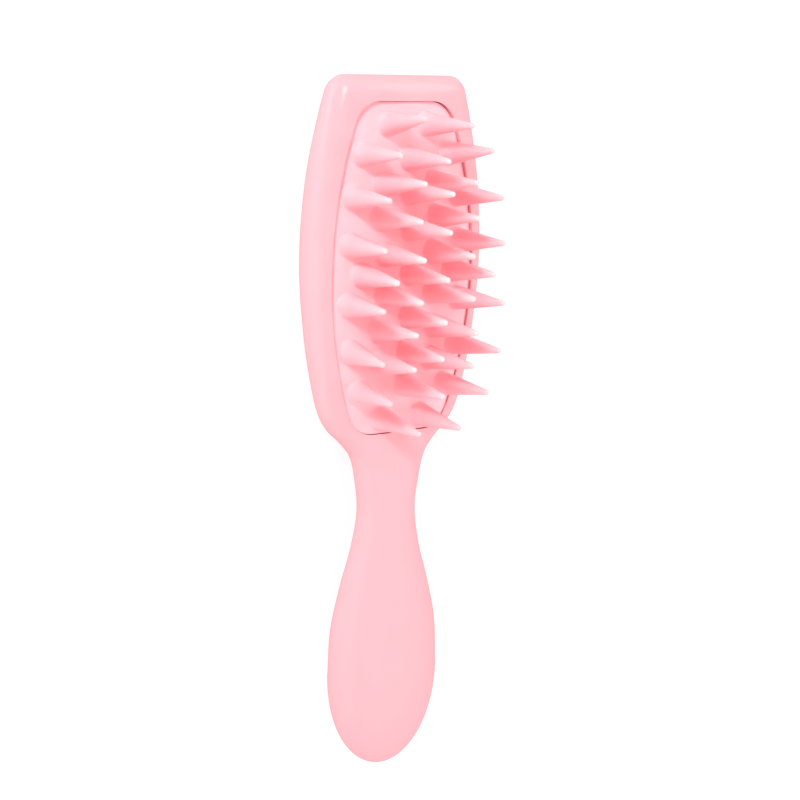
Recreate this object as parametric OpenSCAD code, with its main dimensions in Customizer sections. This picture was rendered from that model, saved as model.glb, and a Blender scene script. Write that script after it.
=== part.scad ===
// Scalp massager brush: a one-piece moulded handle and head, with a domed
// silicone tooth pad on a rigid carrier plate that is pressed into the head.
// X runs across the brush, Y along it towards the top of the head, and Z up
// out of the teeth. The brush lies on its back on Z = 0, and Y = 0 is half way
// along its length.

/* [Overall] */
// Length from the end of the grip to the top of the head
overall_l = 220; // [216:1:224]
// Height of the crown of the tooth pad above the resting plane
crown_h = 19; // [18.6:0.2:20]
// Greatest width of the head
head_w = 68.8; // [68:0.2:71]
// Smallest width of the neck
neck_w = 21.2; // [19:0.2:24]
// Greatest width of the grip
grip_w = 41.6; // [36:0.2:46]

/* [Head] */
// Depth of the rounded top edge of the head, seen from the side
top_edge_r = 5; // [4:0.5:6]
// Radius of the head's top corners, seen from the front
top_corner_r = 4.5; // [4:0.5:6]
// Length of the rounded end of the grip
grip_end_l = 31; // [28:1:34]

/* [Tooth pad] */
// Width of the pad at its widest
pad_w = 56; // [54:0.5:57]
// Length of the pad
pad_l = 102; // [100:0.5:103]
// Middle of the tooth pattern, from the middle of the brush
pad_y = 50; // [49:0.5:51]
// Radius of the bowed long sides of the pad
pad_side_r = 125; // [115:5:140]
// Radius of the pad's corners
pad_corner_r = 10; // [8:0.5:12]
// Crown radius of the pad across the brush
crown_across_r = 115; // [105:5:130]
// Crown radius of the pad along the brush
crown_along_r = 400; // [360:10:440]
// Thickness of the silicone over the carrier plate
skin_t = 2.4; // [2:0.1:2.8]
// Thickness of the silicone skirt round the carrier plate
skirt_t = 1.8; // [1.6:0.1:2.2]
// Open seam between the pad and the head, all round
seam_gap = 0.3; // [0.25:0.05:0.5]

/* [Teeth] */
// Length of a tooth from the pad to its tip
tooth_l = 19.6; // [17:0.2:22]
// Diameter of a tooth where it leaves the pad
tooth_base_d = 7.8; // [7:0.1:8.2]
// Diameter of the rounded tip of a tooth
tooth_tip_d = 1.7; // [1.2:0.1:2.4]

/* [Carrier plate] */
// Thickness of the carrier plate
plate_t = 2; // [1.6:0.1:2.4]
// Diameter of the press pegs under the plate
peg_d = 4.8; // [4:0.1:5.2]
// Radial clearance of a peg in its boss
peg_gap = 0.05; // [0.03:0.01:0.08]
// Diameter of the silicone studs that lock the pad to the plate
stud_d = 4; // [3:0.2:4.6]

/* [Hidden] */

end_y = -overall_l / 2;
top_y = overall_l / 2;
grip_y = end_y + grip_end_l;

body_colour = [0.98, 0.74, 0.77];
plate_colour = [0.97, 0.80, 0.82];
silicone_colour = [1.00, 0.68, 0.72];

// ---- Body curves: [place along Y, value] pairs, joined by a smooth curve ----

head_half = head_w / 2;
neck_half = neck_w / 2;
grip_half = grip_w / 2;

// Half the width of the body
half_width = [
    [grip_y, grip_half], [-64, 0.965 * grip_half], [-50, 0.8 * grip_half],
    [-38, 1.2 * neck_half], [-26, neck_half], [-16, 1.12 * neck_half],
    [-8, 1.34 * neck_half], [-3, 0.545 * head_half], [1, 0.68 * head_half],
    [6, 0.78 * head_half], [14, 0.852 * head_half], [30, 0.94 * head_half],
    [54, head_half], [78, 0.956 * head_half], [98, 0.844 * head_half],
    [top_y, 0.745 * head_half]];
// Height of the front of the body along its middle
front_height = [
    [grip_y, 21.1], [-60, 19.9], [-42, 17.9], [-26, 16.9], [0, 16.6],
    [25, 18.3], [50, crown_h], [77, 18.2], [104, 16.3], [top_y, 15.7]];
// Height of the back of the body along its middle; it dips just under the
// resting plane, where it is cut flat
back_height = [
    [grip_y, -0.1], [-60, 0.9], [-42, 2.8], [-26, 4], [-4, 3.6],
    [20, 1.4], [50, -0.15], [80, 0.8], [104, 4], [top_y, 5]];
// Height of the widest line of the sides
side_height = [
    [end_y, 10.9], [grip_y, 10.6], [-50, 10.3], [-26, 10.5], [0, 10.9],
    [top_y, 10.9]];
// Fullness of the cross-section: 2 is an ellipse, and more is squarer
fullness = [[end_y, 2], [grip_y, 2], [-26, 2.1], [0, 2.4], [30, 2.6], [top_y, 2.6]];

// Slope of a curve at its point i, from the points each side of it
function slope(p, i) =
    let (a = p[max(i - 1, 0)], b = p[min(i + 1, len(p) - 1)])
    (b[1] - a[1]) / (b[0] - a[0]);

// Index of the point that starts the stretch of the curve holding y
function stretch_of(p, y, i = 0) =
    i >= len(p) - 2 || y < p[i + 1][0] ? i : stretch_of(p, y, i + 1);

// Value of the curve at y
function curve_at(p, y) =
    let (
        i = stretch_of(p, y),
        h = p[i + 1][0] - p[i][0],
        t = (y - p[i][0]) / h,
        s = 1 - t)
    s * s * (1 + 2 * t) * p[i][1] + s * s * t * h * slope(p, i)
    + t * t * (3 - 2 * t) * p[i + 1][1] - t * t * s * h * slope(p, i + 1);

// ---- Body rings ----

ring_points = 56;
// The round ends stop just short of closing, at a small flat
cap_depth = 0.995;

// Places of the rings: the grip's round end, the length, then the top edge
end_rings = [for (t = [81 : -9 : 9]) grip_y - grip_end_l * sin(t) / sin(81)];
long_rings = concat(
    [for (y = [grip_y : 5 : -15]) y],
    [for (y = [-12 : 2 : 14]) y],
    [for (y = [18 : 6 : top_y - top_edge_r - 2]) y]);
edge_rings = [for (t = [0 : 15 : 75]) top_y - top_edge_r * (1 - sin(t)), top_y];
ring_places = concat(end_rings, long_rings, edge_rings);

// How far the grip's round end has closed at y, from 1 to nearly 0
function end_closure(y) = sqrt(1 - pow(cap_depth * max(0, (grip_y - y) / grip_end_l), 2));

// How far the head's rounded top edge has closed at y, from 1 to nearly 0
function edge_closure(y) =
    sqrt(1 - pow(cap_depth * max(0, 1 - (top_y - y) / top_edge_r), 2));

// How much the head's top corner takes off the half width at y
function corner_cut(y) =
    let (d = max(0, y - top_y + top_corner_r))
    top_corner_r - sqrt(top_corner_r * top_corner_r - d * d);

// One point of a superellipse quarter, kept on its own side of zero
function rounded(c, n) = sign(c) * pow(abs(c), 2 / n);

function ring(y) =
    let (
        along = max(y, grip_y),
        side = curve_at(side_height, y),
        level = curve_at(side_height, along),
        half = curve_at(half_width, along) * end_closure(y) - corner_cut(y),
        front = (curve_at(front_height, along) - level) * end_closure(y) * edge_closure(y),
        back = (level - curve_at(back_height, along)) * end_closure(y) * edge_closure(y),
        n = curve_at(fullness, y))
    [for (i = [0 : ring_points - 1])
        let (
            angle = 360 * i / ring_points,
            rise = rounded(sin(angle), n))
        [half * rounded(cos(angle), n), y, side + rise * (rise > 0 ? front : back)]];

// A closed skin through a list of rings, with flat ends
module loft(places) {
    rings = [for (y = places) ring(y)];
    last = len(rings) - 1;
    sides = [for (j = [0 : last - 1], i = [0 : ring_points - 1])
        let (
            k = (i + 1) % ring_points,
            a = j * ring_points + i,
            b = j * ring_points + k,
            c = a + ring_points,
            d = b + ring_points)
        each [[a, b, c], [b, d, c]]];
    start_cap = [for (i = [ring_points - 1 : -1 : 0]) i];
    end_cap = [for (i = [0 : ring_points - 1]) last * ring_points + i];
    polyhedron(points = [for (r = rings) each r], faces = concat(sides, [start_cap, end_cap]));
}

// ---- Pad outline and crown ----

pad_half = pad_w / 2;
// The bowed sides are widest a little above the middle of the tooth pattern
pad_wide_y = pad_y + 1;

// Centres of the arcs, and the turn at which a side meets a corner
arc_x = pad_half - pad_side_r;
corner_rise = pad_l / 2 - pad_corner_r;
corner_turn = asin(corner_rise / (pad_side_r - pad_corner_r));
corner_x = arc_x + (pad_side_r - pad_corner_r) * cos(corner_turn);
side_steps = 24;
corner_steps = 12;

// Points of an arc, from one angle to another
function arc_points(centre, r, from, to, steps) =
    [for (i = [0 : steps])
        let (t = from + (to - from) * i / steps)
        [centre[0] + r * cos(t), centre[1] + r * sin(t)]];

// The pad's outline grown by d: two bowed sides and four round corners
function pad_outline(d) =
    let (
        r = pad_corner_r + d,
        side = arc_points([arc_x, 0], pad_side_r + d, -corner_turn, corner_turn, side_steps),
        top = arc_points([corner_x, corner_rise], r, corner_turn, 90, corner_steps),
        bottom = arc_points([corner_x, -corner_rise], r, -90, -corner_turn, corner_steps),
        right = concat(bottom, [for (i = [1 : side_steps - 1]) side[i]], top))
    concat(right, [for (p = right) -p]);

// A prism of the grown outline, from height z upwards
module pad_prism(d, z, h) {
    translate([0, pad_wide_y, z])
        linear_extrude(h)
            polygon(pad_outline(d));
}

// Depth of the block under the crown, and the turn that it sweeps along the pad
crown_block = 30;
crown_sweep = 18;
// The block is this wide, well outside the pad
crown_w = 1.36 * pad_w;

// Everything under the crown surface, lowered by drop, as one thick block
module under_crown(drop) {
    translate([0, pad_y, crown_h - crown_along_r])
        rotate([0, -90, 0])
            rotate([0, 0, -crown_sweep / 2])
                rotate_extrude(angle = crown_sweep, $fn = 360)
                    intersection() {
                        translate([crown_along_r - crown_across_r, 0])
                            circle(r = crown_across_r - drop, $fn = 360);
                        translate([crown_along_r - crown_block, -crown_w / 2])
                            square([crown_block + 1, crown_w]);
                    }
}

// Height of the crown surface at a place on the pad
function crown_z(x, y) =
    let (r = crown_along_r - crown_across_r + sqrt(crown_across_r * crown_across_r - x * x))
    crown_h - crown_along_r + sqrt(r * r - (y - pad_y) * (y - pad_y));

// ---- Places of the pegs, studs, ribs and teeth ----

// Pocket: a ledge round the edge that the pad rests on, and a dished floor
ledge_z = 9.8;
ledge_w = 3;
seat_gap = 0.05;
floor_z = 2.8;

// Bosses and the pegs that press into them
peg_places = [for (x = [-13, 13], y = [-28, 28]) [x, pad_y + y]];
boss_wall = 2.2;
boss_root_z = 3;
boss_top_z = 10;
bore_foot_z = 4.6;
peg_foot_z = 5;
peg_lead = 0.6;

// Studs: the slack lets a head pull through the plate and settle under it
stud_places = concat(
    [for (y = [-40, -14, 14, 40]) [0, pad_y + y]],
    [for (x = [-17, 17], y = [-14, 14]) [x, pad_y + y]]);
stud_gap = 0.05;
stud_head_d = 6.4;
stud_head_t = 1.2;
stud_slack = 0.4;
stud_inset = 1;

// Rim of the carrier plate, and the ribs along and across it
plate_rim_w = 3;
plate_gap = 0.1;
rib_t = 1.5;
rib_foot_z = 10.6;
rib_x = 8.5;
rib_rows = [-28, 0, 28];
long_rib_l = 84;
cross_rib_l = 36;

// Teeth of one column: [place across, place from the middle of the pattern].
// The rows repeat on the other half of the pad, along its length.
centre_rows = [[0, 0], [0, 13.6], [0, 24.5], [0, 35]];
inner_rows = [[9.3, 6.2], [11, 17.1], [10.1, 27.3], [7.6, 45.2]];
outer_rows = [[17.5, 0], [21.7, 9.1], [20.6, 23.4], [16.9, 36.2]];

// The teeth fan out: lean of a tooth's axis per millimetre from the middle
fan_across = 0.0055;
fan_along = 0.0012;
// A tooth starts this far under the skin, before it is cut to the dome
tooth_root = 3;
tip_steps = 4;

// ---- Sub-parts ----

// One-piece moulded handle and head, with the stepped pocket for the pad
module handle_body() {
    color(body_colour) {
        difference() {
            loft(ring_places);
            translate([-head_w, 2 * end_y, -10])
                cube([2 * head_w, 4 * top_y, 10]);
            pad_prism(seam_gap, ledge_z, crown_h);
            intersection() {
                pad_prism(-ledge_w, 1, ledge_z);
                above_pocket_floor();
            }
        }
        for (p = peg_places)
            translate([p[0], p[1], 0])
                boss();
    }
}

// Everything over the dished floor of the pocket, as one thick block
module above_pocket_floor() {
    translate([0, 0, crown_h + floor_z])
        mirror([0, 0, 1])
            under_crown(0);
}

// Round boss with the blind bore that takes a press peg
module boss() {
    bore_r = peg_d / 2 + peg_gap;
    difference() {
        translate([0, 0, boss_root_z])
            cylinder(h = boss_top_z - boss_root_z, r = bore_r + boss_wall, $fn = 72);
        translate([0, 0, bore_foot_z])
            cylinder(h = boss_top_z, r = bore_r, $fn = 72);
    }
}

// Rigid arched plate with a deep rim, ribs, stud holes and four press pegs
module carrier_plate() {
    color(plate_colour)
        difference() {
            union() {
                plate_shell();
                plate_ribs();
                for (p = peg_places)
                    translate([p[0], p[1], 0])
                        peg(crown_z(p[0], p[1]) - skin_t - plate_t / 2);
            }
            for (p = stud_places)
                translate([p[0], p[1], ledge_z])
                    cylinder(h = crown_h, r = stud_d / 2, $fn = 48);
        }
}

module plate_shell() {
    difference() {
        intersection() {
            pad_prism(-skirt_t - plate_gap, ledge_z + seat_gap, crown_h);
            under_crown(skin_t);
        }
        intersection() {
            pad_prism(-skirt_t - plate_gap - plate_rim_w, ledge_z - 1, crown_h);
            under_crown(skin_t + plate_t);
        }
    }
}

// Stiffening ribs under the plate, cut to the arch
module plate_ribs() {
    intersection() {
        union() {
            for (x = [-rib_x, rib_x])
                translate([x - rib_t / 2, pad_y - long_rib_l / 2, rib_foot_z])
                    cube([rib_t, long_rib_l, crown_h]);
            for (y = rib_rows)
                translate([-cross_rib_l / 2, pad_y + y - rib_t / 2, rib_foot_z])
                    cube([cross_rib_l, rib_t, crown_h]);
        }
        under_crown(skin_t + plate_t / 2);
    }
}

// Press peg with a short lead-in, up to height top_z
module peg(top_z) {
    r = peg_d / 2;
    translate([0, 0, peg_foot_z])
        rotate_extrude($fn = 72)
            polygon([
                [0, 0], [r - peg_lead, 0], [r, peg_lead],
                [r, top_z - peg_foot_z], [0, top_z - peg_foot_z]]);
}

// Silicone skin with a skirt that wraps the plate, and studs through it
module silicone_pad() {
    color(silicone_colour) {
        difference() {
            intersection() {
                pad_prism(0, ledge_z + seat_gap, crown_h);
                under_crown(0);
            }
            intersection() {
                pad_prism(-skirt_t, ledge_z - 1, crown_h);
                under_crown(skin_t);
            }
        }
        for (p = stud_places)
            translate([p[0], p[1], 0])
                stud(crown_z(p[0], p[1]));
    }
}

// Locking stud, from inside the skin down to a flat head under the plate
module stud(skin_z) {
    foot_z = skin_z - skin_t - plate_t - stud_slack - stud_head_t;
    translate([0, 0, foot_z]) {
        cylinder(h = stud_head_t, d = stud_head_d, $fn = 48);
        cylinder(h = skin_z - stud_inset - foot_z, r = stud_d / 2 - stud_gap, $fn = 48);
    }
}

// One cone tooth with a rounded tip, standing at the origin
module tooth() {
    base_r = tooth_base_d / 2;
    tip_r = tooth_tip_d / 2;
    neck_z = tooth_l - tip_r;
    root_r = base_r + (base_r - tip_r) * tooth_root / neck_z;
    tip = [for (i = [0 : tip_steps]) let (t = 90 * i / tip_steps)
        [tip_r * cos(t), neck_z + tip_r * sin(t)]];
    rotate_extrude($fn = 48)
        polygon(concat([[0, -tooth_root], [root_r, -tooth_root]], tip));
}

// A column of teeth, with each row and its match on the other half of the pad
module tooth_column(rows, side) {
    color(silicone_colour)
        difference() {
            for (row = rows, end = row[1] > 0 ? [-1, 1] : [1]) {
                x = side * row[0];
                y = end * row[1];
                translate([x, pad_y + y, crown_z(x, pad_y + y)])
                    rotate([-atan(fan_along * y), atan(fan_across * x), 0])
                        tooth();
            }
            under_crown(0);
        }
}

module teeth_left_outer() { tooth_column(outer_rows, -1); }

module teeth_left_inner() { tooth_column(inner_rows, -1); }

module teeth_centre() { tooth_column(centre_rows, 1); }

module teeth_right_inner() { tooth_column(inner_rows, 1); }

module teeth_right_outer() { tooth_column(outer_rows, 1); }

handle_body();
carrier_plate();
silicone_pad();
teeth_left_outer();
teeth_left_inner();
teeth_centre();
teeth_right_inner();
teeth_right_outer();
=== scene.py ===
"""Scalp massager brush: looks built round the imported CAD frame.

Lengths are in millimetres until a mesh is made, in the CAD frame: X across the brush, Y along it
towards the top of the head, Z up out of the teeth. The stage is in metres.
"""

import math

import bmesh
import bpy
from mathutils import Matrix, Vector
from mathutils.geometry import delaunay_2d_cdt


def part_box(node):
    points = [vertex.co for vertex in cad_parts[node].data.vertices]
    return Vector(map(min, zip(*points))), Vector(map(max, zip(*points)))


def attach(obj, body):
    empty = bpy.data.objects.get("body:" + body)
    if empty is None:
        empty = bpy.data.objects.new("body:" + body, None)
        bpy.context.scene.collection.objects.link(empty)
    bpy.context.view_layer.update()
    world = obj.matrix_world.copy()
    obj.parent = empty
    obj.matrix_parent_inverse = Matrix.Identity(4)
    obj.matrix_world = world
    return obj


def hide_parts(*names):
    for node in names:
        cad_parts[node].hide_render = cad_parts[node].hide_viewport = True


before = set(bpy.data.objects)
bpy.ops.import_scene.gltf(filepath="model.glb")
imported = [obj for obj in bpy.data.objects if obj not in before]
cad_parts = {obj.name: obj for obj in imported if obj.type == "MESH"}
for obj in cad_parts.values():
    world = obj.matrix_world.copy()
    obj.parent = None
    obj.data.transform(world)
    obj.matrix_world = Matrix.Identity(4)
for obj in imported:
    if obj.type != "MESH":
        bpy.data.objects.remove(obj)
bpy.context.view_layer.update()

MM = 0.001


# ---- Sizes taken from the frame ----

def box_mm(node):
    """Low and high corners of a CAD node's box, in millimetres."""
    low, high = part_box(node)
    return low / MM, high / MM


body_low, body_high = box_mm("handle_body")
pad_low, pad_high = box_mm("silicone_pad")

END_Y = body_low.y
TOP_Y = body_high.y
HEAD_HALF = body_high.x
PAD_HALF = pad_high.x
PAD_RISE = (pad_high.y - pad_low.y) / 2
PAD_WIDE_Y = (pad_high.y + pad_low.y) / 2
CROWN_H = pad_high.z
PAD_FOOT_Z = pad_low.z

# ---- Body shape, as the CAD body ----

# Every profile is a list of (y, value) points that a smooth curve runs through
GRIP_END_L = 31.0
GRIP_Y = END_Y + GRIP_END_L
GRIP_HALF = 20.8
NECK_HALF = 10.6
TOP_EDGE_R = 5.0
TOP_CORNER_R = 4.5

HALF_WIDTH = [
    (GRIP_Y, GRIP_HALF), (-64, 0.965 * GRIP_HALF), (-50, 0.8 * GRIP_HALF),
    (-38, 1.2 * NECK_HALF), (-26, NECK_HALF), (-16, 1.12 * NECK_HALF),
    (-8, 1.34 * NECK_HALF), (-3, 0.545 * HEAD_HALF), (1, 0.68 * HEAD_HALF),
    (6, 0.78 * HEAD_HALF), (14, 0.852 * HEAD_HALF), (30, 0.94 * HEAD_HALF),
    (54, HEAD_HALF), (78, 0.956 * HEAD_HALF), (98, 0.844 * HEAD_HALF),
    (TOP_Y, 0.745 * HEAD_HALF)]
FRONT_HEIGHT = [
    (GRIP_Y, 21.1), (-60, 19.9), (-42, 17.9), (-26, 16.9), (0, 16.6),
    (25, 18.3), (50, CROWN_H), (77, 18.2), (104, 16.3), (TOP_Y, 15.7)]
BACK_HEIGHT = [
    (GRIP_Y, -0.1), (-60, 0.9), (-42, 2.8), (-26, 4), (-4, 3.6),
    (20, 1.4), (50, -0.15), (80, 0.8), (104, 4), (TOP_Y, 5)]
SIDE_HEIGHT = [
    (END_Y, 10.9), (GRIP_Y, 10.6), (-50, 10.3), (-26, 10.5), (0, 10.9), (TOP_Y, 10.9)]
FULLNESS = [(END_Y, 2), (GRIP_Y, 2), (-26, 2.1), (0, 2.4), (30, 2.6), (TOP_Y, 2.6)]


def slope(points, i):
    """Slope of the smooth curve at its point i."""
    a = points[max(i - 1, 0)]
    b = points[min(i + 1, len(points) - 1)]
    return (b[1] - a[1]) / (b[0] - a[0])


def curve_at(points, y):
    """Value at y of the smooth curve through the points."""
    i = 0
    while i < len(points) - 2 and y >= points[i + 1][0]:
        i += 1
    h = points[i + 1][0] - points[i][0]
    t = (y - points[i][0]) / h
    s = 1 - t
    return (s * s * (1 + 2 * t) * points[i][1] + s * s * t * h * slope(points, i)
            + t * t * (3 - 2 * t) * points[i + 1][1] - t * t * s * h * slope(points, i + 1))


def closing(share):
    """How far a round end has closed, from 1 at its start to 0 at its tip."""
    return math.sqrt(max(0.0, 1 - min(1.0, max(0.0, share)) ** 2))


def half_width(y):
    """Half the body's width at y, with its round grip end and its rounded top corners."""
    d = max(0.0, y - TOP_Y + TOP_CORNER_R)
    corner = TOP_CORNER_R - math.sqrt(max(0.0, TOP_CORNER_R ** 2 - d * d))
    return curve_at(HALF_WIDTH, max(y, GRIP_Y)) * closing((GRIP_Y - y) / GRIP_END_L) - corner


def body_point(across, y, front):
    """A point of the body's outer skin; across runs from -1 to 1 between its sides."""
    along = max(y, GRIP_Y)
    level = curve_at(SIDE_HEIGHT, along)
    height = curve_at(FRONT_HEIGHT if front else BACK_HEIGHT, along) - level
    height *= closing((GRIP_Y - y) / GRIP_END_L) * closing(1 - (TOP_Y - y) / TOP_EDGE_R)
    n = curve_at(FULLNESS, y)
    rise = (1 - min(1.0, abs(across)) ** n) ** (1 / n)
    return across * half_width(y), y, max(0.0, curve_at(SIDE_HEIGHT, y) + height * rise)


# ---- Pad outline and crown, as the CAD pad ----

PAD_Y = 50.0
SIDE_R = 125.0
CORNER_R = 10.0
CROWN_ACROSS_R = 115.0
CROWN_ALONG_R = 400.0
SKIN_T = 2.4
SKIRT_T = 1.8
SEAM_GAP = 0.3
FOOT_GAP = 0.05
LEDGE_Z = PAD_FOOT_Z - FOOT_GAP
LEDGE_W = 3.0
FLOOR_Z = 2.8

ARC_X = PAD_HALF - SIDE_R
CORNER_RISE = PAD_RISE - CORNER_R
CORNER_TURN = math.asin(CORNER_RISE / (SIDE_R - CORNER_R))
CORNER_X = ARC_X + (SIDE_R - CORNER_R) * math.cos(CORNER_TURN)


def crown_z(x, y, drop=0.0):
    """Height of the pad's domed surface, lowered by drop."""
    across = CROWN_ACROSS_R - drop
    r = CROWN_ALONG_R - CROWN_ACROSS_R + math.sqrt(across ** 2 - x * x)
    return CROWN_H - CROWN_ALONG_R + math.sqrt(r * r - (y - PAD_Y) ** 2)


def floor_height(x, y):
    """Height of the dished floor of the pocket."""
    return FLOOR_Z + CROWN_H - crown_z(x, y)


SIDE_STEPS = 96
CORNER_STEPS = 36
STRAIGHT_STEPS = 20


def right_half_marks():
    """Marks up the right half of the outline, each as (centre of its arc, radius, angle)."""
    marks = []
    for i in range(STRAIGHT_STEPS // 2):
        marks.append(((2 * CORNER_X * i / STRAIGHT_STEPS, -CORNER_RISE), CORNER_R, -math.pi / 2))
    for i in range(CORNER_STEPS):
        angle = -math.pi / 2 + (math.pi / 2 - CORNER_TURN) * i / CORNER_STEPS
        marks.append(((CORNER_X, -CORNER_RISE), CORNER_R, angle))
    for i in range(SIDE_STEPS):
        marks.append(((ARC_X, 0.0), SIDE_R, -CORNER_TURN + 2 * CORNER_TURN * i / SIDE_STEPS))
    for i in range(CORNER_STEPS):
        angle = CORNER_TURN + (math.pi / 2 - CORNER_TURN) * i / CORNER_STEPS
        marks.append(((CORNER_X, CORNER_RISE), CORNER_R, angle))
    for i in range(STRAIGHT_STEPS // 2):
        x = CORNER_X * (1 - 2 * i / STRAIGHT_STEPS)
        marks.append(((x, CORNER_RISE), CORNER_R, math.pi / 2))
    return marks


MARKS = right_half_marks()


def outline(d):
    """The pad's outline grown by d, as plan points with the same marks for every d."""
    right = []
    for (cx, cy), r, angle in MARKS:
        right.append((cx + (r + d) * math.cos(angle),
                      PAD_WIDE_Y + cy + (r + d) * math.sin(angle)))
    left = [(-x, 2 * PAD_WIDE_Y - y) for x, y in right]
    return right + left


# ---- Mesh building ----

# Points closer than this, in metres, become one
WELD = 2e-6
SHARP = math.radians(50)


class Skin:
    """Points and faces gathered for one closed mesh."""

    def __init__(self):
        self.points = []
        self.faces = []

    def loop(self, points):
        """Adds a row of points and gives their numbers."""
        first = len(self.points)
        self.points += [tuple(p) for p in points]
        return list(range(first, len(self.points)))

    def bridge(self, a, b, closed=True):
        """Quads between two rows of the same length."""
        count = len(a) if closed else len(a) - 1
        for i in range(count):
            j = (i + 1) % len(a)
            self.faces.append((a[i], a[j], b[j], b[i]))

    def bridge_all(self, rows, closed=True):
        """Quads between each row and the next."""
        for a, b in zip(rows, rows[1:]):
            self.bridge(a, b, closed)

    def fan(self, row, point):
        """Triangles from a closed row to one point."""
        tip = self.loop([point])[0]
        for i, a in enumerate(row):
            self.faces.append((a, row[(i + 1) % len(row)], tip))

    def piece(self, name):
        """The mesh object, smooth but for its sharp corners, with its faces turned outwards."""
        mesh = bpy.data.meshes.new(name)
        mesh.from_pydata([[c * MM for c in p] for p in self.points], [], self.faces)
        work = bmesh.new()
        work.from_mesh(mesh)
        bmesh.ops.remove_doubles(work, verts=work.verts, dist=WELD)
        bmesh.ops.dissolve_degenerate(work, edges=work.edges, dist=WELD)
        bmesh.ops.recalc_face_normals(work, faces=work.faces)
        work.to_mesh(mesh)
        work.free()
        mesh.shade_smooth()
        mesh.set_sharp_from_angle(angle=SHARP)
        obj = bpy.data.objects.new(name, mesh)
        bpy.context.scene.collection.objects.link(obj)
        return obj


# ---- Handle and head ----

NECK_SPLIT_Y = -9.0
COLUMNS = 28
CORNER_ROWS = 24
FRONT_RINGS = 22
SIDE_SAMPLES = 600
FLOOR_RINGS = 24
GRIP_STEP = 0.9
END_STEPS = 40

# Both sides of the seam carry a small bead at the top, so that the seam shows as a thin line
LIP_R = 0.1
LIP_STEPS = 6
LIP_REACH = 0.09
LIP_DEEP = 0.4
# How far the bead on the body stands off the pad's outline
MOUTH = SEAM_GAP - LIP_REACH


def spread(i, count):
    """A share from 0 to 1 that crowds towards 1, for surfaces that turn steeply at their edge."""
    return math.sin(math.pi / 2 * i / count)


def even_places(points, count):
    """count + 1 points evenly spaced along a fine line of plan points."""
    lengths = [0.0]
    for a, b in zip(points, points[1:]):
        lengths.append(lengths[-1] + math.dist(a, b))
    placed, j = [], 0
    for i in range(count + 1):
        goal = lengths[-1] * i / count
        while j < len(points) - 2 and lengths[j + 1] < goal:
            j += 1
        share = (goal - lengths[j]) / (lengths[j + 1] - lengths[j])
        placed.append([u + (v - u) * share for u, v in zip(points[j], points[j + 1])])
    return placed


def side_rows(count):
    """Y of count + 1 rows up the side of the head, from the neck to the top edge."""
    start = TOP_Y - TOP_CORNER_R
    fine = [NECK_SPLIT_Y + (start - NECK_SPLIT_Y) * i / SIDE_SAMPLES
            for i in range(SIDE_SAMPLES + 1)]
    rows = [p[1] for p in even_places([(half_width(y), y) for y in fine], count - CORNER_ROWS)]
    for i in range(1, CORNER_ROWS + 1):
        rows.append(start + TOP_CORNER_R * spread(i, CORNER_ROWS))
    return rows


# Shares across the body from its left side to its right
ACROSS = [math.copysign(spread(abs(j), COLUMNS), j) for j in range(-COLUMNS, COLUMNS + 1)]


def close_floor(skin, rows, edge, height):
    """Ends the rows with rings that shrink from an edge to the middle, and joins them all."""
    for i in range(FLOOR_RINGS):
        share = 1 - i / FLOOR_RINGS
        ring = [(x * share, PAD_WIDE_Y + (y - PAD_WIDE_Y) * share) for x, y in edge]
        rows.append(skin.loop([(x, y, height(x, y)) for x, y in ring]))
    skin.bridge_all(rows)
    skin.fan(rows[-1], (0, PAD_WIDE_Y, height(0, PAD_WIDE_Y)))


def head_edge(rows):
    """Edge of the head's front, as (across, y): up its right side, over the top, down its left."""
    right = [(spread(i, COLUMNS), NECK_SPLIT_Y) for i in range(COLUMNS)]
    right += [(1.0, y) for y in rows]
    right += [(spread(COLUMNS - i, COLUMNS), TOP_Y) for i in range(1, COLUMNS + 1)]
    return right + [(-a, y) for a, y in reversed(right[1:-1])]


def add_front(skin, lip_places, edge):
    """Front of the head in rings from the pocket's lip out to its edge; gives both of those."""
    rings = []
    for k in range(FRONT_RINGS + 1):
        t = spread(k, FRONT_RINGS)
        rings.append(skin.loop([
            body_point(a + (c - a) * t, b + (d - b) * t, True)
            for (a, b), (c, d) in zip(lip_places, edge)]))
    skin.bridge_all(rings)
    return rings[0], rings[-1]


def add_pocket(skin, lip_row, lip_heights):
    """Lip, wall, ledge, inner wall and dished floor of the pocket."""
    rows = [lip_row]
    for i in range(1, LIP_STEPS + 1):
        turn = math.pi / 2 * i / LIP_STEPS
        ring = outline(MOUTH + LIP_R * (1 - math.sin(turn)))
        drop = LIP_R * (1 - math.cos(turn))
        rows.append(skin.loop([(x, y, z - drop) for (x, y), z in zip(ring, lip_heights)]))
    wall = outline(SEAM_GAP)
    rows.append(skin.loop([(x, y, z - LIP_DEEP) for (x, y), z in zip(wall, lip_heights)]))
    for d in (SEAM_GAP, -LEDGE_W):
        rows.append(skin.loop([(x, y, LEDGE_Z) for x, y in outline(d)]))
    close_floor(skin, rows, outline(-LEDGE_W), floor_height)


def add_back(skin, rows, outer):
    """Back of the head in rows across that end on the front's edge; gives the row at the neck."""
    half_count = len(MARKS)
    back = []
    for i, y in enumerate(rows[:-1]):
        middle = skin.loop([body_point(a, y, False) for a in ACROSS[1:-1]])
        back.append([outer[-COLUMNS - i]] + middle + [outer[COLUMNS + i]])
    back.append([outer[half_count - j] for j in range(-COLUMNS, COLUMNS + 1)])
    skin.bridge_all(back, closed=False)
    return back[0]


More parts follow.
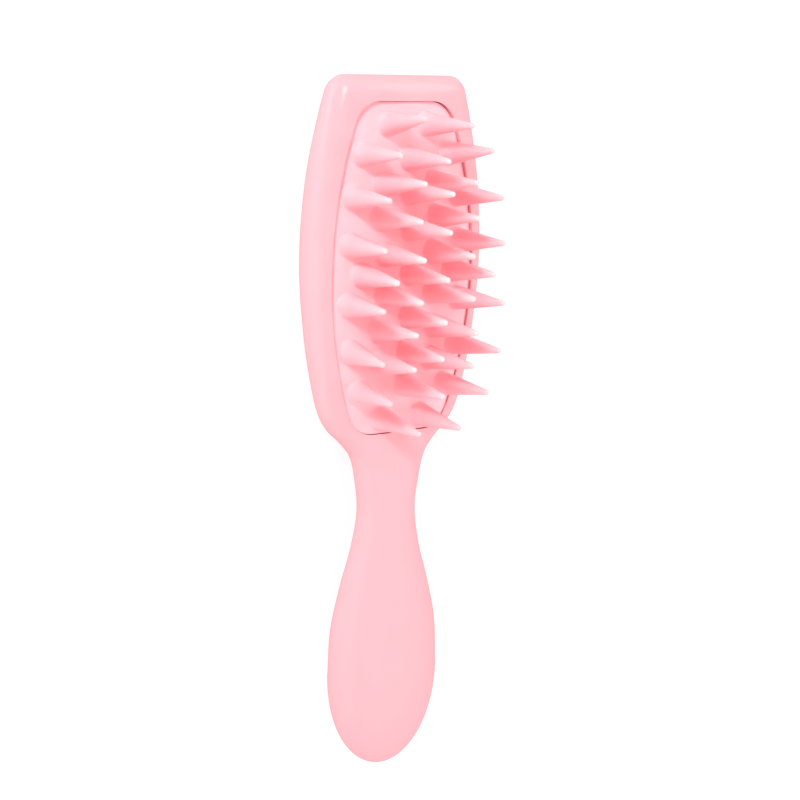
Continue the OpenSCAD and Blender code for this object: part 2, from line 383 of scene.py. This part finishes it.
def add_grip(skin, neck_row):
    """Neck, grip and its round end, in whole rings from the row where the head ends."""
    rings = [neck_row]
    shares = [(a, True) for a in reversed(ACROSS)] + [(a, False) for a in ACROSS[1:-1]]
    count = round((NECK_SPLIT_Y - GRIP_Y) / GRIP_STEP)
    places = [NECK_SPLIT_Y + (GRIP_Y - NECK_SPLIT_Y) * i / count for i in range(1, count + 1)]
    places += [GRIP_Y - GRIP_END_L * spread(i, END_STEPS) for i in range(1, END_STEPS)]
    for y in places:
        rings.append(skin.loop([body_point(a, y, is_front) for a, is_front in shares]))
    skin.bridge_all(rings)
    skin.fan(rings[-1], (0, END_Y, curve_at(SIDE_HEIGHT, END_Y)))


def build_body():
    """Handle and head: one skin with the stepped pocket sunk in its front."""
    skin = Skin()
    rows = side_rows(len(MARKS) - 2 * COLUMNS)
    lip_places = [(x / half_width(y), y) for x, y in outline(MOUTH + LIP_R)]
    lip_row, outer = add_front(skin, lip_places, head_edge(rows))
    add_pocket(skin, lip_row, [body_point(a, y, True)[2] for a, y in lip_places])
    back_row = add_back(skin, rows, outer)
    front_row = [outer[i] for i in range(COLUMNS, -COLUMNS - 1, -1)]
    add_grip(skin, front_row + back_row[1:-1])
    return skin.piece("brush_body")


# ---- Pad and teeth ----

TOOTH_L = 19.6
TOOTH_BASE_R = 3.9
TOOTH_TIP_R = 0.85
# Places of the teeth from the pad's middle, (across, along), for one quarter of the pad
CENTRE_ROWS = [(0, 0), (0, 13.6), (0, 24.5), (0, 35)]
INNER_ROWS = [(9.3, 6.2), (11, 17.1), (10.1, 27.3), (7.6, 45.2)]
OUTER_ROWS = [(17.5, 0), (21.7, 9.1), (20.6, 23.4), (16.9, 36.2)]
# How far each tooth has sagged out of true, in degrees across and along, column by column
CENTRE_SAG = [(-2, -1), (-3, 2), (0, 0), (-4, 2), (3, 1), (0, -1), (-1, -2)]
LEFT_INNER_SAG = [(-1, -1), (1, -1), (1, 3), (3, 0), (-2, 3), (5, 2), (1, -3), (-2, 4)]
RIGHT_INNER_SAG = [(0, -1), (-2, 0), (1, 0), (-2, 1), (1, 1), (-1, 2), (-1, -2), (4, -2)]
LEFT_OUTER_SAG = [(0, -1), (1, 2), (1, 0), (-1, -2), (2, 0), (-3, 1), (2, 0)]
RIGHT_OUTER_SAG = [(0, 1), (1, 1), (-1, 1), (3, 0), (0, -1), (2, 1), (-1, 3)]
# How far the teeth fan out, in radians for each millimetre from the pad's middle
FAN_ACROSS = 0.0055
FAN_ALONG = 0.0012
TOOTH_SIDES = 40
FILLET_MOST = 0.5
FILLET_EDGE_GAP = 0.08
FILLET_STEPS = 6
CONE_STEPS = 18
TIP_STEPS = 8

PAD_EDGE_R = 0.3
PAD_EDGE_DROP = 0.15
MESH_PITCH = 1.3
EDGE_CLEAR = 0.7 * MESH_PITCH
TOOTH_CLEAR = 0.6 * MESH_PITCH
CDT_OUTER_ONLY = 1
CDT_EPSILON = 1e-5


def tooth_places():
    """(x, y, sag) of every tooth, each row mirrored across the pad and along it."""
    columns = [(CENTRE_ROWS, 1, CENTRE_SAG), (INNER_ROWS, -1, LEFT_INNER_SAG),
               (INNER_ROWS, 1, RIGHT_INNER_SAG), (OUTER_ROWS, -1, LEFT_OUTER_SAG),
               (OUTER_ROWS, 1, RIGHT_OUTER_SAG)]
    found = []
    for rows, side, sags in columns:
        spots = [(side * x, PAD_Y + end * y)
                 for x, y in rows for end in ((-1, 1) if y else (1,))]
        found += [(x, y, sag) for (x, y), sag in zip(spots, sags)]
    return found


def build_tooth(skin, x, y, sag, fillet, start):
    """One tooth: a fillet off its starting ring on the dome, a straight cone and a round tip."""
    foot = Vector((x, y, crown_z(x, y)))
    axis = Vector((FAN_ACROSS * x + math.radians(sag[0]),
                   FAN_ALONG * (y - PAD_Y) + math.radians(sag[1]), 1)).normalized()
    u = Vector((1, 0, 0)) - axis * axis.x
    u.normalize()
    v = axis.cross(u)
    tip_height = TOOTH_L - TOOTH_TIP_R
    taper = (TOOTH_BASE_R - TOOTH_TIP_R) / tip_height

    def ring(r, h, settle):
        """A ring round the axis at height h; settle is how closely it follows the dome."""
        points = []
        for i in range(TOOTH_SIDES):
            t = 2 * math.pi * i / TOOTH_SIDES
            p = foot + (u * math.cos(t) + v * math.sin(t)) * r + axis * h
            p.z += settle * (crown_z(p.x, p.y) - foot.z + (p.x - x) * axis.x + (p.y - y) * axis.y)
            points.append(p)
        return skin.loop(points)

    rings = [start]
    for i in range(1, FILLET_STEPS + 1):
        turn = math.pi / 2 * i / FILLET_STEPS
        h = fillet * (1 - math.cos(turn))
        r = TOOTH_BASE_R - taper * h + fillet * (1 - math.sin(turn))
        rings.append(ring(r, h, math.cos(turn) ** 2))
    for i in range(1, CONE_STEPS + 1):
        h = fillet + (tip_height - fillet) * i / CONE_STEPS
        rings.append(ring(TOOTH_BASE_R - taper * h, h, 0))
    for i in range(1, TIP_STEPS):
        turn = math.pi / 2 * i / TIP_STEPS
        h = tip_height + TOOTH_TIP_R * math.sin(turn)
        rings.append(ring(TOOTH_TIP_R * math.cos(turn), h, 0))
    skin.bridge_all(rings)
    skin.fan(rings[-1], foot + axis * TOOTH_L)


def filler_points(holes):
    """Points in a triangular pattern over the pad, clear of its edge and of every tooth."""
    inner = outline(-PAD_EDGE_R - EDGE_CLEAR)
    count = len(inner)
    found = []
    row_step = MESH_PITCH * math.sqrt(3) / 2
    for j in range(int(2 * PAD_RISE / row_step)):
        y = PAD_WIDE_Y - PAD_RISE + j * row_step
        crossings = [
            a[0] + (b[0] - a[0]) * (y - a[1]) / (b[1] - a[1])
            for a, b in ((inner[i], inner[(i + 1) % count]) for i in range(count))
            if (a[1] <= y) != (b[1] <= y)]
        if len(crossings) < 2:
            continue
        reach = max(crossings)
        x = -PAD_HALF + (j % 2) * MESH_PITCH / 2
        while x < reach:
            clear = all(math.dist((x, y), (a, b)) > TOOTH_BASE_R + fillet + TOOTH_CLEAR
                        for a, b, _, fillet in holes)
            if x > -reach and clear:
                found.append((x, y))
            x += MESH_PITCH
    return found


def tooth_holes(rim):
    """(x, y, sag, fillet) of every tooth, its fillet as wide as the room to the edge allows."""
    holes = []
    for x, y, sag in tooth_places():
        room = min(math.dist((x, y), p) for p in rim)
        holes.append((x, y, sag, min(FILLET_MOST, room - TOOTH_BASE_R - FILLET_EDGE_GAP)))
    return holes


def add_dome(skin, rim, holes):
    """The dome as one triangle mesh between the pad's rim and a ring round every tooth.

    Gives the row of points along the rim, then one row for each tooth's ring.
    """
    plan = [Vector(p) for p in rim]
    edges = [(i, (i + 1) % len(rim)) for i in range(len(rim))]
    rings = []
    for x, y, _, fillet in holes:
        r = TOOTH_BASE_R + fillet
        first = len(plan)
        rings.append(range(first, first + TOOTH_SIDES))
        for i in range(TOOTH_SIDES):
            t = 2 * math.pi * i / TOOTH_SIDES
            plan.append(Vector((x + r * math.cos(t), y + r * math.sin(t))))
            edges.append((first + i, first + (i + 1) % TOOTH_SIDES))
    plan += [Vector(p) for p in filler_points(holes)]
    made, _, faces, origins, _, _ = delaunay_2d_cdt(plan, edges, [], CDT_OUTER_ONLY, CDT_EPSILON)
    index = {o: i for i, found in enumerate(origins) for o in found}
    dome = skin.loop([(p.x, p.y, crown_z(p.x, p.y)) for p in made])
    # Faces that lie wholly on one tooth's ring fill its hole, so they are left out
    ring_sets = [{index[i] for i in ring} for ring in rings]
    for f in faces:
        if not any(ring.issuperset(f) for ring in ring_sets):
            skin.faces.append(tuple(dome[i] for i in f))
    return [[dome[index[i]] for i in row] for row in [range(len(rim)), *rings]]


def under_dome(x, y):
    """Height of the pad skin's underside."""
    return crown_z(x, y, SKIN_T)


def add_skirt(skin, rim, rim_row):
    """Rounded edge with its bead, skirt, and the hollow underneath that holds the plate."""
    rows = [rim_row]
    heights = [crown_z(x, y) for x, y in rim]
    for i in range(1, LIP_STEPS + 1):
        turn = math.pi / 2 * i / LIP_STEPS
        ring = outline((PAD_EDGE_R + LIP_REACH) * math.sin(turn) - PAD_EDGE_R)
        drop = PAD_EDGE_DROP * (1 - math.cos(turn))
        rows.append(skin.loop([(x, y, z - drop) for (x, y), z in zip(ring, heights)]))
    rows.append(skin.loop([(x, y, z - LIP_DEEP) for (x, y), z in zip(outline(0), heights)]))
    for d in (0, -SKIRT_T):
        rows.append(skin.loop([(x, y, PAD_FOOT_Z) for x, y in outline(d)]))
    close_floor(skin, rows, outline(-SKIRT_T), under_dome)


def build_silicone():
    """Pad skin, skirt and all the teeth as one moulding."""
    skin = Skin()
    rim = outline(-PAD_EDGE_R)
    holes = tooth_holes(rim)
    rim_row, *ring_rows = add_dome(skin, rim, holes)
    for (x, y, sag, fillet), start in zip(holes, ring_rows):
        build_tooth(skin, x, y, sag, fillet, start)
    add_skirt(skin, rim, rim_row)
    return skin.piece("silicone_pad_and_teeth")


# ---- Round parts inside ----

BOSS_R = 4.65
BORE_R = 2.45
BOSS_TOP_Z = 10.0
BOSS_ROOT_Z = 3.0
BORE_FOOT_Z = 4.6
PEG_X = 13
PEG_Y = 28
PEG_PLACES = [(x, PAD_Y + y) for y in (-PEG_Y, PEG_Y) for x in (-PEG_X, PEG_X)]
STUD_R = 1.95
STUD_HEAD_R = 3.2
STUD_HEAD_T = 1.2
STUD_SLACK = 0.4
STUD_ROOT_DROP = 1.0
PLATE_T = 2.0
STUD_PLACES = [(0, y) for y in (-40, -14, 14, 40)] + [(x, y) for x in (-17, 17) for y in (-14, 14)]
TURNS = 48
EDGE_BREAK = 0.3


def lathe(skin, x, y, profile):
    """A turned shape on a vertical axis, from (radius, height) points that start and end on it."""
    rings = []
    for r, z in profile[1:-1]:
        turns = [2 * math.pi * i / TURNS for i in range(TURNS)]
        rings.append(skin.loop([(x + r * math.cos(t), y + r * math.sin(t), z) for t in turns]))
    skin.bridge_all(rings)
    skin.fan(rings[0][::-1], (x, y, profile[0][1]))
    skin.fan(rings[-1], (x, y, profile[-1][1]))


def build_bosses():
    """The four bosses that stand in the pocket, each with its blind bore."""
    skin = Skin()
    for x, y in PEG_PLACES:
        lathe(skin, x, y, [
            (0, BORE_FOOT_Z), (BORE_R, BORE_FOOT_Z), (BORE_R, BOSS_TOP_Z - EDGE_BREAK),
            (BORE_R + EDGE_BREAK, BOSS_TOP_Z), (BOSS_R - EDGE_BREAK, BOSS_TOP_Z),
            (BOSS_R, BOSS_TOP_Z - EDGE_BREAK), (BOSS_R, BOSS_ROOT_Z), (0, BOSS_ROOT_Z)])
    return skin.piece("pocket_bosses")


def build_studs():
    """The eight studs that lock the silicone to the plate."""
    skin = Skin()
    for x, from_middle in STUD_PLACES:
        y = PAD_Y + from_middle
        under = crown_z(x, y) - SKIN_T - PLATE_T - STUD_SLACK
        top = crown_z(x, y) - STUD_ROOT_DROP
        foot = under - STUD_HEAD_T
        lathe(skin, x, y, [
            (0, foot), (STUD_HEAD_R - EDGE_BREAK, foot), (STUD_HEAD_R, foot + EDGE_BREAK),
            (STUD_HEAD_R, under - EDGE_BREAK), (STUD_HEAD_R - EDGE_BREAK, under), (STUD_R, under),
            (STUD_R, top), (0, top)])
    return skin.piece("pad_studs")


# ---- Materials ----

# Noise is given as (scale, detail); ripples and the reach of light under a surface are in metres
ABS_IOR = 1.5
ABS_COLOUR_NOISE = (22, 2)
ABS_GLOSS_NOISE = (70, 3)
ABS_RIPPLE_NOISE = (1600, 2)
ABS_RIPPLE = 0.000004
ABS_SOAK = 0.12
ABS_SOAK_COLOUR = (1.0, 0.4, 0.3)
ABS_SOAK_REACH = 0.0015

SILICONE_IOR = 1.41
SILICONE_ROUGH = (0.42, 0.52)
SILICONE_GLOSS_NOISE = (120, 4)
SILICONE_RIPPLE_NOISE = (2200, 2)
SILICONE_RIPPLE = 0.000006
SILICONE_SOAK = 0.4
SILICONE_SOAK_COLOUR = (1.0, 0.4, 0.34)
SILICONE_SOAK_REACH = 0.0012
# Heights between which the silicone's colour, painted with shade and light, turns from the pad's
# to the tooth tips'
PAINTED_SHADING_FOOT = 0.0165
PAINTED_SHADING_TIP = 0.0385
PAINTED_SHADING_WOBBLE = 0.06
PAINTED_SHADING_NOISE = (60, 3)
# Colours on the way up, as (share of the height, colour); the first two are the ends. The stops
# from the teeth's feet to above their middle are darker, deeper pink as painted shade between the
# teeth, and the top stop is paler as a painted highlight on the tips.
PAINTED_SHADING_STOPS = [
    (0.0, (0.99, 0.585, 0.625)), (1.0, (0.99, 0.70, 0.70)), (0.14, (0.99, 0.505, 0.55)),
    (0.26, (0.99, 0.455, 0.50)), (0.55, (0.99, 0.46, 0.505)), (0.84, (0.99, 0.53, 0.565))]


def new_material(name):
    """An empty material: (material, its node tree, its shader)."""
    material = bpy.data.materials.new(name)
    material.use_nodes = True
    tree = material.node_tree
    tree.nodes.clear()
    out = tree.nodes.new("ShaderNodeOutputMaterial")
    shader = tree.nodes.new("ShaderNodeBsdfPrincipled")
    tree.links.new(shader.outputs["BSDF"], out.inputs["Surface"])
    return material, tree, shader


def noise(tree, scale, detail):
    """A noise texture in the piece's own space, so that it moves with the piece."""
    place = tree.nodes.new("ShaderNodeTexCoord")
    texture = tree.nodes.new("ShaderNodeTexNoise")
    texture.inputs["Scale"].default_value = scale
    texture.inputs["Detail"].default_value = detail
    tree.links.new(place.outputs["Object"], texture.inputs["Vector"])
    return texture.outputs["Fac"]


def ramp(tree, source, stops):
    """A colour ramp with (place, colour) stops."""
    node = tree.nodes.new("ShaderNodeValToRGB")
    for i, (at, colour) in enumerate(stops):
        stop = node.color_ramp.elements[i] if i < 2 else node.color_ramp.elements.new(at)
        stop.position = at
        stop.color = (*colour, 1)
    tree.links.new(source, node.inputs["Fac"])
    return node.outputs["Color"]


def span(tree, source, low, high, start=0.0, end=1.0):
    """Turns start to end in the source into low to high."""
    node = tree.nodes.new("ShaderNodeMapRange")
    node.inputs["From Min"].default_value = start
    node.inputs["From Max"].default_value = end
    node.inputs["To Min"].default_value = low
    node.inputs["To Max"].default_value = high
    tree.links.new(source, node.inputs["Value"])
    return node.outputs["Result"]


def bump(tree, shader, source, depth):
    """A fine ripple of the given depth."""
    node = tree.nodes.new("ShaderNodeBump")
    node.inputs["Strength"].default_value = 1.0
    node.inputs["Distance"].default_value = depth
    tree.links.new(source, node.inputs["Height"])
    tree.links.new(node.outputs["Normal"], shader.inputs["Normal"])


def soak(shader, weight, colour, reach):
    """Lets light soak into the surface, each colour to its share of the reach."""
    shader.inputs["Subsurface Weight"].default_value = weight
    shader.inputs["Subsurface Radius"].default_value = colour
    shader.inputs["Subsurface Scale"].default_value = reach


def plastic(name, dark, light, rough_low, rough_high):
    """Moulded plastic with slight colour and gloss variation and a faint ripple."""
    material, tree, shader = new_material(name)
    tree.links.new(ramp(tree, noise(tree, *ABS_COLOUR_NOISE), [(0.0, dark), (1.0, light)]),
                   shader.inputs["Base Color"])
    tree.links.new(span(tree, noise(tree, *ABS_GLOSS_NOISE), rough_low, rough_high),
                   shader.inputs["Roughness"])
    bump(tree, shader, noise(tree, *ABS_RIPPLE_NOISE), ABS_RIPPLE)
    shader.inputs["IOR"].default_value = ABS_IOR
    soak(shader, ABS_SOAK, ABS_SOAK_COLOUR, ABS_SOAK_REACH)
    return material


def silicone():
    """Soft silicone: light soaks into it, and its colour is painted by height: paler at the pad,
    darker and deeper pink up the teeth as painted shade between them, and paler at the tips as a
    painted highlight.
    """
    material, tree, shader = new_material("silicone")
    place = tree.nodes.new("ShaderNodeTexCoord")
    axes = tree.nodes.new("ShaderNodeSeparateXYZ")
    tree.links.new(place.outputs["Object"], axes.inputs["Vector"])
    height = span(tree, axes.outputs["Z"], 0, 1, PAINTED_SHADING_FOOT, PAINTED_SHADING_TIP)
    wobble = tree.nodes.new("ShaderNodeMath")
    wobble.operation = "MULTIPLY_ADD"
    tree.links.new(noise(tree, *PAINTED_SHADING_NOISE), wobble.inputs[0])
    wobble.inputs[1].default_value = PAINTED_SHADING_WOBBLE
    tree.links.new(height, wobble.inputs[2])
    # The ramp by height paints shade between the teeth and a highlight on their tips
    tree.links.new(ramp(tree, wobble.outputs["Value"], PAINTED_SHADING_STOPS), shader.inputs["Base Color"])
    tree.links.new(span(tree, noise(tree, *SILICONE_GLOSS_NOISE), *SILICONE_ROUGH),
                   shader.inputs["Roughness"])
    bump(tree, shader, noise(tree, *SILICONE_RIPPLE_NOISE), SILICONE_RIPPLE)
    shader.inputs["IOR"].default_value = SILICONE_IOR
    soak(shader, SILICONE_SOAK, SILICONE_SOAK_COLOUR, SILICONE_SOAK_REACH)
    return material


def add(obj, body, slot, material, *nodes):
    """Finishes one piece: its material, its body and the CAD nodes it stands for; the slot is not
    used.
    """
    obj.data.materials.append(material)
    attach(obj, body)
    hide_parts(*nodes)


abs_pink = plastic("abs_pink", (0.96, 0.435, 0.47), (0.98, 0.455, 0.49), 0.09, 0.13)
plate_pink = plastic("plate_pink", (0.93, 0.57, 0.60), (0.95, 0.60, 0.63), 0.42, 0.52)
silicone_pink = silicone()

add(build_body(), "handle", "moulded_abs", abs_pink, "handle_body")
add(build_bosses(), "handle", "moulded_abs", abs_pink, "handle_body")
add(build_silicone(), "pad", "silicone", silicone_pink, "silicone_pad", "teeth_left_outer",
    "teeth_left_inner", "teeth_centre", "teeth_right_inner", "teeth_right_outer")
add(build_studs(), "pad", "silicone", silicone_pink, "silicone_pad")

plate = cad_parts["carrier_plate"]
if not plate.material_slots:
    plate.data.materials.append(None)
for plate_slot in plate.material_slots:
    plate_slot.link = "OBJECT"
    plate_slot.material = plate_pink

# ---- Floor, light and camera ----

FLOOR_HALF = 40.0
FLOOR_DARK = (0.19, 0.19, 0.19)
FLOOR_LIGHT = (0.21, 0.21, 0.21)
FLOOR_ROUGH = 0.7
FLOOR_GLOW = 0.82
ROOM_COLOUR = (1, 0.75, 0.775, 1)
ROOM_STRENGTH = 0.62
TARGET = Vector((-2.44, 10.5, 19.0)) * MM

floor_mesh = bpy.data.meshes.new("floor")
floor_mesh.from_pydata([(-FLOOR_HALF, -FLOOR_HALF, 0), (FLOOR_HALF, -FLOOR_HALF, 0),
                        (FLOOR_HALF, FLOOR_HALF, 0), (-FLOOR_HALF, FLOOR_HALF, 0)], [],
                       [(0, 1, 2, 3)])
floor = bpy.data.objects.new("floor", floor_mesh)
bpy.context.scene.collection.objects.link(floor)
floor_white, floor_tree, floor_shader = new_material("floor_white")
floor_tint = ramp(floor_tree, noise(floor_tree, 3, 2),
                  [(0.3, FLOOR_DARK), (0.7, FLOOR_LIGHT)])
floor_tree.links.new(floor_tint, floor_shader.inputs["Base Color"])
floor_shader.inputs["Roughness"].default_value = FLOOR_ROUGH
floor_shader.inputs["Emission Color"].default_value = (1, 1, 1, 1)
floor_shader.inputs["Emission Strength"].default_value = FLOOR_GLOW
floor_mesh.materials.append(floor_white)
# Kept out of reflections, so that the edges of the handle stay a little darker
floor.visible_glossy = False

world = bpy.data.worlds.new("studio")
world.use_nodes = True
room = world.node_tree.nodes["Background"]
room.inputs["Color"].default_value = ROOM_COLOUR
room.inputs["Strength"].default_value = ROOM_STRENGTH
bpy.context.scene.world = world
bpy.context.scene.view_settings.view_transform = "Standard"
bpy.context.scene.view_settings.look = "None"


def soft_light(name, place, wide, tall, power, mirrored=True, lit=True):
    """A soft box that looks at the brush.

    mirrored says whether it shows in glossy surfaces, lit whether it lights dull ones.
    """
    data = bpy.data.lights.new(name, "AREA")
    data.shape = "RECTANGLE"
    data.size = wide
    data.size_y = tall
    data.energy = power
    lamp = bpy.data.objects.new(name, data)
    lamp.location = place
    lamp.rotation_euler = (Vector(place) - TARGET).to_track_quat("Z", "Y").to_euler()
    lamp.visible_glossy = mirrored
    lamp.visible_diffuse = lit
    bpy.context.scene.collection.objects.link(lamp)


# Name, place in metres, width, height and power in watts
soft_light("key_light", (-0.68, 0.57, 0.43), 0.15, 0.15, 4.7, mirrored=False)
soft_light("key_glow", (-0.68, 0.57, 0.43), 0.5, 0.5, 1.1)
soft_light("corner_strip", (0.08, 0.48, 0.86), 0.14, 0.42, 1.1, lit=False)
soft_light("side_box", (-0.76, 0.0, 0.65), 2.2, 0.8, 3.2)
soft_light("top_light", (-0.1, 0.6, 0.75), 0.4, 0.4, 0.5, mirrored=False)
soft_light("overhead_light", (0.1, -0.35, 0.95), 0.4, 0.4, 1.3, mirrored=False)
soft_light("head_end_light", (-0.1, 0.97, 0.15), 0.4, 0.4, 1.0, mirrored=False)
soft_light("grip_end_light", (-0.05, -0.97, 0.2), 0.4, 0.4, 2.6, mirrored=False)
soft_light("edge_box", (0.64, 0.5, 0.52), 0.5, 0.6, 1.0)
soft_light("right_light", (0.66, -0.1, 0.55), 0.4, 0.4, 3.0, mirrored=False)

CAMERA_DISTANCE = 0.616
CAMERA_SIDE = math.radians(40.27)
CAMERA_RISE = math.radians(9.98)
CAMERA_ROLL = math.radians(1.48)
LENS_MM = 89.25
SENSOR_MM = 36

backward = Vector((-math.sin(CAMERA_SIDE) * math.cos(CAMERA_RISE), math.sin(CAMERA_RISE),
                   math.cos(CAMERA_SIDE) * math.cos(CAMERA_RISE)))
level_right = Vector((0, 1, 0)).cross(backward).normalized()
level_up = backward.cross(level_right)
picture_right = level_right * math.cos(CAMERA_ROLL) + level_up * math.sin(CAMERA_ROLL)
picture_up = level_up * math.cos(CAMERA_ROLL) - level_right * math.sin(CAMERA_ROLL)
lens = bpy.data.cameras.new("camera")
lens.lens = LENS_MM
lens.sensor_width = SENSOR_MM
camera = bpy.data.objects.new("camera", lens)
camera.matrix_world = Matrix.Translation(TARGET + backward * CAMERA_DISTANCE) @ Matrix(
    (picture_right, picture_up, backward)).transposed().to_4x4()
bpy.context.scene.collection.objects.link(camera)
bpy.context.scene.camera = camera
